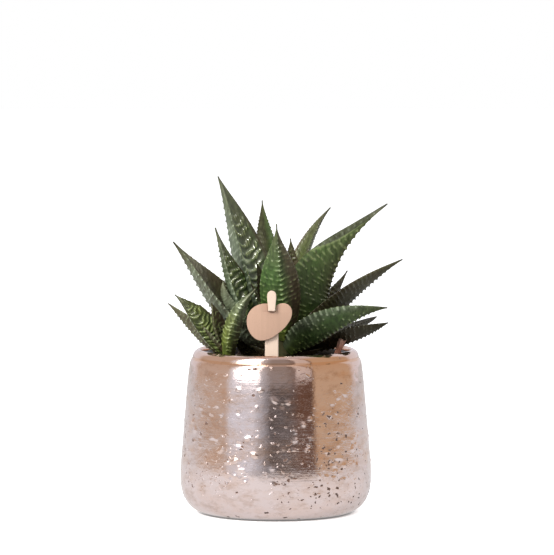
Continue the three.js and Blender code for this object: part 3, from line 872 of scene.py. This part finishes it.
def grow_leaf(name, shape, leaf, seed, material, foot=0.4, stands_for=True):
    """Makes one leaf, which stands for the solid of its name unless that is missing."""
    surface, span = leaf_surface(name, shape, leaf, seed, foot)
    rows = int(span / ROW_STEP) + 8
    columns = int(56 + shape[3] * 2.8)
    piece = wrapped_grid(rows, columns, surface)
    finish_piece(piece, name.title(), [name] if stands_for else (), material)
    glint_receivers().objects.link(piece)


# The skin of a leaf. On its inner face: how strong the welts are, how far apart, where along the
# leaf they end and how far they hang down in the middle. On its outer face: how far apart the rows
# of beads are, how long a bead is, the share of beads that is missing, where across the face, from
# keel 0 to edge 1, bars begin, and how high a row's fold is. Along its edges: how long the teeth
# are. Then how brown it is; how far its one side turns brown and, as painted shade, darker, and
# where across; how much painted shade darkens it from the foot and up to where; how waxy it is,
# from where, and at the near edge, where the wax bloom is partly a painted sheen; and how pale its
# ridges are.
SKIN = dict(welts=1, welts_apart=1, welts_end=0.86, sag=0.21, rows_apart=1, dash=0.62, gaps=0.3,
            bars=0.86, folds=0.12, teeth=1, brown=0.5, turned=0, turned_at=0.33, painted_shade=0.4, painted_shade_end=0.5,
            wax=0.6, wax_from=0.2, edge_wax_and_sheen=0, pale=0.6)
SHADED = dict(brown=1, painted_shade_end=1.3, wax=0)
SKINS = {
    "leaf_front_centre": dict(folds=0.22, teeth=0.4, dash=1.25, gaps=0.12, rows_apart=0.85, brown=0.1,
                              turned=0.9, painted_shade=0, wax=0.3, wax_from=0.9, pale=0.48, bars=0.95),
    "leaf_tall_left": dict(welts=1.3, teeth=0.3, welts_end=0.76, rows_apart=0.85, painted_shade=0.05, brown=0.25,
                           wax=1, pale=0.95),
    "leaf_big_right": dict(teeth=0.15, rows_apart=0.75, gaps=0.55, bars=0.8, folds=0.05, brown=0.25,
                           turned=0.6, turned_at=-0.1, painted_shade=0.45, painted_shade_end=0.75, wax=0.15, pale=0.4),
    "leaf_mid_left": dict(welts=1.2, sag=0.1, teeth=0.5, welts_end=0.84, rows_apart=0.85, painted_shade=0.1,
                          brown=0.3, wax=1, pale=0.9),
    "leaf_back_centre": dict(welts=0.25, brown=0, turned=0.65, turned_at=-0.35, wax=0, painted_shade=0.2),
    "leaf_back_right": dict(welts=0.4, rows_apart=0.8, bars=0.8, brown=0.55, wax=0.3, pale=0.45),
    "leaf_left": dict(welts=0.35, welts_apart=0.7, rows_apart=0.9, painted_shade=0.1, brown=0.95, wax=1,
                      pale=0.75),
    "leaf_right": dict(welts=0.4, rows_apart=0.7, folds=0.08, bars=0.74, brown=0.9, painted_shade=0.6,
                       painted_shade_end=0.9, wax=0.1, pale=0.1),
    "leaf_front_right": dict(rows_apart=0.9, dash=0.6, gaps=0.6, folds=0.05, bars=0.8, brown=0.05,
                             turned=0.7, turned_at=0.1, painted_shade=0.55, painted_shade_end=0.75, wax=0.2, edge_wax_and_sheen=0.8,
                             pale=0.85),
    "leaf_low_right": dict(welts=0.5, painted_shade=0.75, pale=0.3, **SHADED),
    "leaf_low_right_behind": dict(painted_shade=0.8, pale=0.2, **SHADED),
    "leaf_right_behind": dict(painted_shade=0.6, pale=0.4, **SHADED),
    "leaf_front_left": dict(rows_apart=0.8, brown=0.6, wax=0.8, pale=0.4),
    "leaf_heart_right": dict(brown=0.8, pale=0.5),
    "leaf_heart_left": dict(brown=0.3),
    "offset_leaf_front": dict(dash=3.2, gaps=0.05, rows_apart=1.1, brown=0.1, turned=0.6, painted_shade=0,
                              wax=0.8, wax_from=0.9, pale=1),
    "offset_leaf_left": dict(welts=1.2, welts_apart=0.85, brown=0.35, painted_shade=0.1, pale=1),
    "offset_leaf_lowest": dict(brown=1, painted_shade=0.3, wax=0.35, pale=0.7),
    "offset_leaf_upright": dict(brown=0.9, painted_shade=0.3, wax=0.3, pale=0.6),
    "offset_leaf_inner": dict(brown=0.2, painted_shade=0.1, pale=0.7),
}
SKINS.update({name: dict(painted_shade=0.7, pale=0.1, **SHADED) for name in OLD_LEAVES})


class HAWORTHIA_OT_rosette(bpy.types.Operator):
    """Grow the leaves of the main rosette"""
    bl_idname = "haworthia.rosette"
    bl_label = "Main rosette"

    def execute(self, context):
        leaf = context.scene.haworthia_leaf
        material = leaf_material("Leaf", leaf, leaf.green)
        for number, (name, shape) in enumerate(MAIN_LEAVES.items()):
            grow_leaf(name, shape, leaf, number * SEED_STEP, material)
        for number, (name, shape) in enumerate(OLD_LEAVES.items()):
            grow_leaf(name, shape, leaf, 50 + number * SEED_STEP, material, stands_for=False)
        return {"FINISHED"}


class HAWORTHIA_OT_offset(bpy.types.Operator):
    """Grow the leaves of the small offset"""
    bl_idname = "haworthia.offset"
    bl_label = "Offset"

    def execute(self, context):
        leaf = context.scene.haworthia_leaf
        young = leaf_material("Young leaf", leaf, leaf.young)
        for number, (name, shape) in enumerate(OFFSET_LEAVES.items()):
            foot = 0.75 if name == "offset_leaf_front" else 0.5
            grow_leaf(name, shape, leaf, 31 + number * SEED_STEP, young, foot)
        return {"FINISHED"}


class HAWORTHIA_OT_stems(bpy.types.Operator):
    """Finish the two stems"""
    bl_idname = "haworthia.stems"
    bl_label = "Stems"

    def execute(self, context):
        material = stem_material()
        for name in ("stem_main", "stem_offset"):
            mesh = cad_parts[name].data
            mesh.materials.clear()
            mesh.materials.append(material)
        return {"FINISHED"}


class HAWORTHIA_OT_stalk(bpy.types.Operator):
    """Model the dried stalk near the rim"""
    bl_idname = "haworthia.stalk"
    bl_label = "Dried stalk"

    def execute(self, context):
        foot = np.array((31.5, -13.0, 84.0))
        lean = math.radians(22)
        axis = np.array((math.sin(lean), 0, math.cos(lean)))
        out = np.array((math.cos(lean), 0, -math.sin(lean)))

        def surface(around, along):
            angle = around * math.tau
            # up the outside, over the torn rim and a little way down the inside
            up = np.minimum(along / 0.8, 1) * 18.6 - np.maximum(along - 0.8, 0) / 0.2 * 1.6
            up += ease(along, 0.6, 0.8) * (0.5 * np.sin(angle * 3 + 1) + 0.3 * np.sin(angle * 7))
            radius = 1.5 + 0.2 * np.sin(angle * 5 + up * 0.3) + 0.55 * ease(up, 10, 18)
            radius = np.where(along > 0.8, radius * (1 - (along - 0.8) / 0.2 * 0.95), radius)
            places = (foot + axis * up[:, None] + out * (radius * np.cos(angle))[:, None]
                      + np.array((0, 1, 0)) * (radius * np.sin(angle))[:, None])
            return (places,)

        piece = wrapped_grid(60, 40, surface)
        finish_piece(piece, "Dried_stalk", ["dried_stalk"], dry_material())
        return {"FINISHED"}


class HAWORTHIA_OT_tag(bpy.types.Operator):
    """Cut the stick and the leaning heart of the tag"""
    bl_idname = "haworthia.tag"
    bl_label = "Wooden tag"

    def execute(self, context):
        tag = context.scene.haworthia_tag
        self.stick(tag)
        self.disc(tag)
        return {"FINISHED"}

    def stick(self, tag):
        low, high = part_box("tag_stick")
        centre = (low.x + high.x) / 2 / MM
        back, front = high.y / MM - tag.thickness / 2, low.y / MM + tag.thickness / 2
        foot, top = low.z / MM, high.z / MM
        notch, head, square = 120.4, 2.55, 0.25

        def surface(around, along):
            # a rounded bar whose half width and place change with height
            z = foot + (top - foot) * along
            half = np.interp(z, (foot, foot + 6, 116.8, 118.6, 122.6, 127.4),
                             (0.4, 3.85, 3.85, 2.1, 2.1, head))
            crown = np.sqrt(np.maximum(head ** 2 - (z - (top - head)) ** 2, 0.02))
            half = np.where(z > top - head, crown, half)
            y = back + (front - back) * ease(z, notch - 1.0, notch)
            angle = around * math.tau
            across, deep = (np.sign(wave) * np.abs(wave) ** square
                            for wave in (np.cos(angle), np.sin(angle)))
            return (np.stack([centre + across * half, y + deep * tag.thickness / 2, z], -1),)

        piece = wrapped_grid(240, 40, surface)
        wood = wood_material("Pale wood", tag.stick, tag.edge)
        finish_piece(piece, "Tag_stick", ["tag_stick"], wood)

    def disc(self, tag):
        low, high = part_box("tag_disc")
        bevel, sharpest = 0.18, math.radians(40)
        corners = [
            ((2.2, 119.6), (2.2, 119.6), (2.4, 121.5)), ((2.6, 123.0), (2.5, 122.3), (5.3, 126)),
            ((11.6, 118.8), (12, 125), (11.2, 112)), ((-4.7, 103.3), (1, 104), (-10.2, 102.6)),
            ((-14.3, 114.4), (-14.3, 108.5), (-14.3, 121)), ((-2.2, 124.3), (-8, 125.2), (-2.2, 123)),
            ((-2.2, 119.6), (-2.2, 121), (-1, 119.6)),
        ]
        deselect()
        bpy.ops.curve.primitive_bezier_circle_add(radius=MM)
        curve = bpy.context.object.data
        knots = curve.splines[0].bezier_points
        knots.add(len(corners) - len(knots))
        for knot, (place, before, after) in zip(knots, corners):
            knot.handle_left_type = knot.handle_right_type = "FREE"
            knot.co = Vector((*place, 0)) * MM
            knot.handle_left = Vector((*before, 0)) * MM
            knot.handle_right = Vector((*after, 0)) * MM
        curve.dimensions = "2D"
        curve.fill_mode = "BOTH"
        curve.resolution_u = 24
        curve.extrude = (tag.thickness / 2 - bevel) * MM
        curve.bevel_depth = bevel * MM
        curve.bevel_resolution = 2
        curve.offset = -bevel * MM
        bpy.ops.object.convert(target="MESH")
        piece = bpy.context.object
        close_seams()
        piece.rotation_euler = (math.pi / 2, 0, 0)
        piece.location = (-2.3 * MM, (low.y + high.y) / 2, 0)
        wood = wood_material("Pink wood", tag.disc, tag.edge)
        finish_piece(piece, "Tag_disc", ["tag_disc"], wood, smooth=False)
        bpy.ops.object.shade_smooth_by_angle(angle=sharpest)


# ---- stage


def floor_material(stage):
    """Pale paper that burns out to white away from the pot, and throws little light back up."""
    material, n, shader, place = new_material("Pale floor")
    rays = n.add("LightPath").outputs
    seen, glossy = Value(n, rays["Is Camera Ray"]), Value(n, rays["Is Glossy Ray"])
    away = n.vector_math("LENGTH", "Value", i0=place)
    burnt = n.ramp(away, (0.041, 0.0), (0.049, 0.75), (0.075, 0.95), (0.13, 1.0))
    towards = n.axis(place, "Y") * -1.0
    mirrored = n.math("MINIMUM", n.ramp(away, (0.12, 0.55), (0.30, 0.49)),
                      n.ramp(towards, (0.35, 0.55), (0.90, 0.20)))
    glow = burnt * seen + glossy * mirrored
    n.set(shader, Base_Color=n.mix(seen, darker(stage.floor, 0.25), stage.floor), Roughness=0.9,
          Emission_Color=n.mix(glow, (0, 0, 0), (1, 1, 1)), Emission_Strength=1.0)
    return material


def area_light(name, place, target, size, power, tint):
    deselect()
    bpy.ops.object.light_add(type="AREA", location=Vector(place) * MM)
    light = bpy.context.object
    light.name = name
    light.data.shape = "RECTANGLE"
    light.data.size, light.data.size_y = size[0] * MM, size[1] * MM
    light.data.energy = power
    light.data.color = tint
    aim = (Vector(target) - Vector(place)).to_track_quat("-Z", "Y")
    light.rotation_euler = aim.to_euler()
    return light


def glint_receivers():
    name = "Glint receivers"
    return bpy.data.collections.get(name) or bpy.data.collections.new(name)


def studio_world():
    """White for the camera; a pale room with darker sides and a tall window for reflections."""
    world = bpy.data.worlds.new("Studio")
    world.use_nodes = True
    bpy.context.scene.world = world
    n = Nodes(world.node_tree)
    background = next(node for node in world.node_tree.nodes if node.type == "BACKGROUND")
    way = n.value("TexCoord", "Generated")
    high = n.axis(way, "Z")
    # azimuth from the camera's side (-Y) towards +X, as a share of a full turn around 0.5
    share = n.math("ARCTAN2", n.axis(way, "X"), n.axis(way, "Y") * -1.0) / math.tau + 0.5

    def by_azimuth(*stops):
        return n.ramp(share, *[(0.5 + degrees / 360, shade) for degrees, shade in stops])

    white, tan, ochre = (0.80, 0.80, 0.86), (0.60, 0.50, 0.42), (0.59, 0.43, 0.29)

    def walls(silver, grey, mauve):
        return by_azimuth((-180, white), (-138, white), (-124, tan), (-68, tan), (-60, silver),
                          (-30, silver), (-6, grey), (16, grey), (32, mauve), (48, mauve),
                          (53, ochre), (116, ochre), (128, white), (180, white))

    low_walls = walls((0.75, 0.78, 0.84), (0.095, 0.087, 0.087), (0.140, 0.080, 0.055))
    high_walls = walls((0.82, 0.90, 1.0), (0.33, 0.30, 0.29), (0.165, 0.095, 0.066))
    room = n.mix(n.ramp(high, (0.05, 0.0), (0.13, 1.0)), low_walls, high_walls)
    room = n.mix(n.ramp(high, (0.80, 0.0), (0.97, 0.9)), room, (0.62, 0.58, 0.60))
    window = by_azimuth((-58, 0.0), (-55, 1.0), (-23, 1.0), (-20, 0.0),
                        (26, 0.0), (28, 0.23), (47, 0.23), (49, 0.0))
    raised = n.ramp(high, (0.112, 0.0), (0.150, 1.0), (0.93, 1.0), (0.95, 0.0))
    lit = n.vector_math("ADD", i0=room, i1=window * raised * 2.2)
    rays = n.add("LightPath").outputs
    soft = n.mix(rays["Is Diffuse Ray"], lit, (0.13, 0.135, 0.145))
    n.set(background, Color=n.mix(rays["Is Camera Ray"], soft, (1, 1, 1)), Strength=1.0)


CAMERA_SIDE = 0.725


class HAWORTHIA_OT_stage(bpy.types.Operator):
    """Lay the floor, set the lights and aim the camera"""
    bl_idname = "haworthia.stage"
    bl_label = "Stage"

    def execute(self, context):
        stage = context.scene.haworthia_stage
        deselect()
        bpy.ops.mesh.primitive_plane_add(size=12, location=(0, 0, 0))
        floor = context.object
        floor.name = "Floor"
        floor.data.materials.append(floor_material(stage))
        studio_world()
        warm, neutral, cool = (1, 0.98, 0.95), (1, 1, 1), (0.92, 0.97, 1)
        for name, place, target, size, share, tint in (
                ("Key", (-1000, -820, 900), 120, (600, 700), 1.0, warm),
                ("Side fill", (950, -800, 1200), 120, (700, 700), 0.38, (1, 0.99, 0.97)),
                ("Front fill", (-800, -1700, 600), 100, (900, 600), 0.16, neutral),
                ("Top", (0, 200, 1500), 100, (1200, 1200), 0.40, cool)):
            light = area_light(name, place, (0, 0, target), size, stage.key * share, tint)
            light.visible_glossy = False
        # two small lamps that only glint on the waxy leaves
        for name, place, share in (("Glint right", (900, -60, 1050), 0.80),
                                   ("Glint left", (-900, -700, 1000), 0.90)):
            glint = area_light(name, place, (0, 0, 140), (330, 330), stage.key * share, neutral)
            glint.visible_diffuse = False
            glint.light_linking.receiver_collection = glint_receivers()
        deselect()
        place = (CAMERA_SIDE * MM, -stage.distance * MM, stage.camera_height * MM)
        bpy.ops.object.camera_add(location=place, rotation=(math.pi / 2 - stage.pitch, 0, 0))
        camera = context.object
        camera.name = "Camera"
        camera.data.lens = stage.lens
        camera.data.sensor_width = 36
        camera.data.clip_end = 60
        context.scene.camera = camera
        context.scene.view_settings.view_transform = "Standard"
        return {"FINISHED"}


class HAWORTHIA_PT_panel(bpy.types.Panel):
    """Lists the steps and their settings"""
    bl_label = "Potted haworthia"
    bl_idname = "HAWORTHIA_PT_panel"
    bl_space_type = "VIEW_3D"
    bl_region_type = "UI"
    bl_category = "Haworthia"

    def draw(self, context):
        for step in STEPS:
            self.layout.operator(step.bl_idname)
        for name, _ in SETTINGS:
            group = getattr(context.scene, name)
            column = self.layout.column(align=True)
            for key in group.__annotations__:
                column.prop(group, key)


STEPS = (HAWORTHIA_OT_stage, HAWORTHIA_OT_pot, HAWORTHIA_OT_liner, HAWORTHIA_OT_compost,
         HAWORTHIA_OT_stems, HAWORTHIA_OT_rosette, HAWORTHIA_OT_offset, HAWORTHIA_OT_stalk,
         HAWORTHIA_OT_tag)
SETTINGS = (("haworthia_pot", PotSettings), ("haworthia_leaf", LeafSettings),
            ("haworthia_tag", TagSettings), ("haworthia_stage", StageSettings))
CLASSES = (*(group for _, group in SETTINGS), *STEPS, HAWORTHIA_PT_panel)


def register():
    for kind in CLASSES:
        bpy.utils.register_class(kind)
    for name, group in SETTINGS:
        setattr(bpy.types.Scene, name, PointerProperty(type=group))


def unregister():
    for name, _ in SETTINGS:
        delattr(bpy.types.Scene, name)
    for kind in reversed(CLASSES):
        bpy.utils.unregister_class(kind)


def main():
    register()
    bpy.ops.haworthia.stage()
    bpy.ops.haworthia.pot()
    bpy.ops.haworthia.liner()
    bpy.ops.haworthia.compost()
    bpy.ops.haworthia.stems()
    bpy.ops.haworthia.rosette()
    bpy.ops.haworthia.offset()
    bpy.ops.haworthia.stalk()
    bpy.ops.haworthia.tag()


if __name__ == "__main__":
    main()
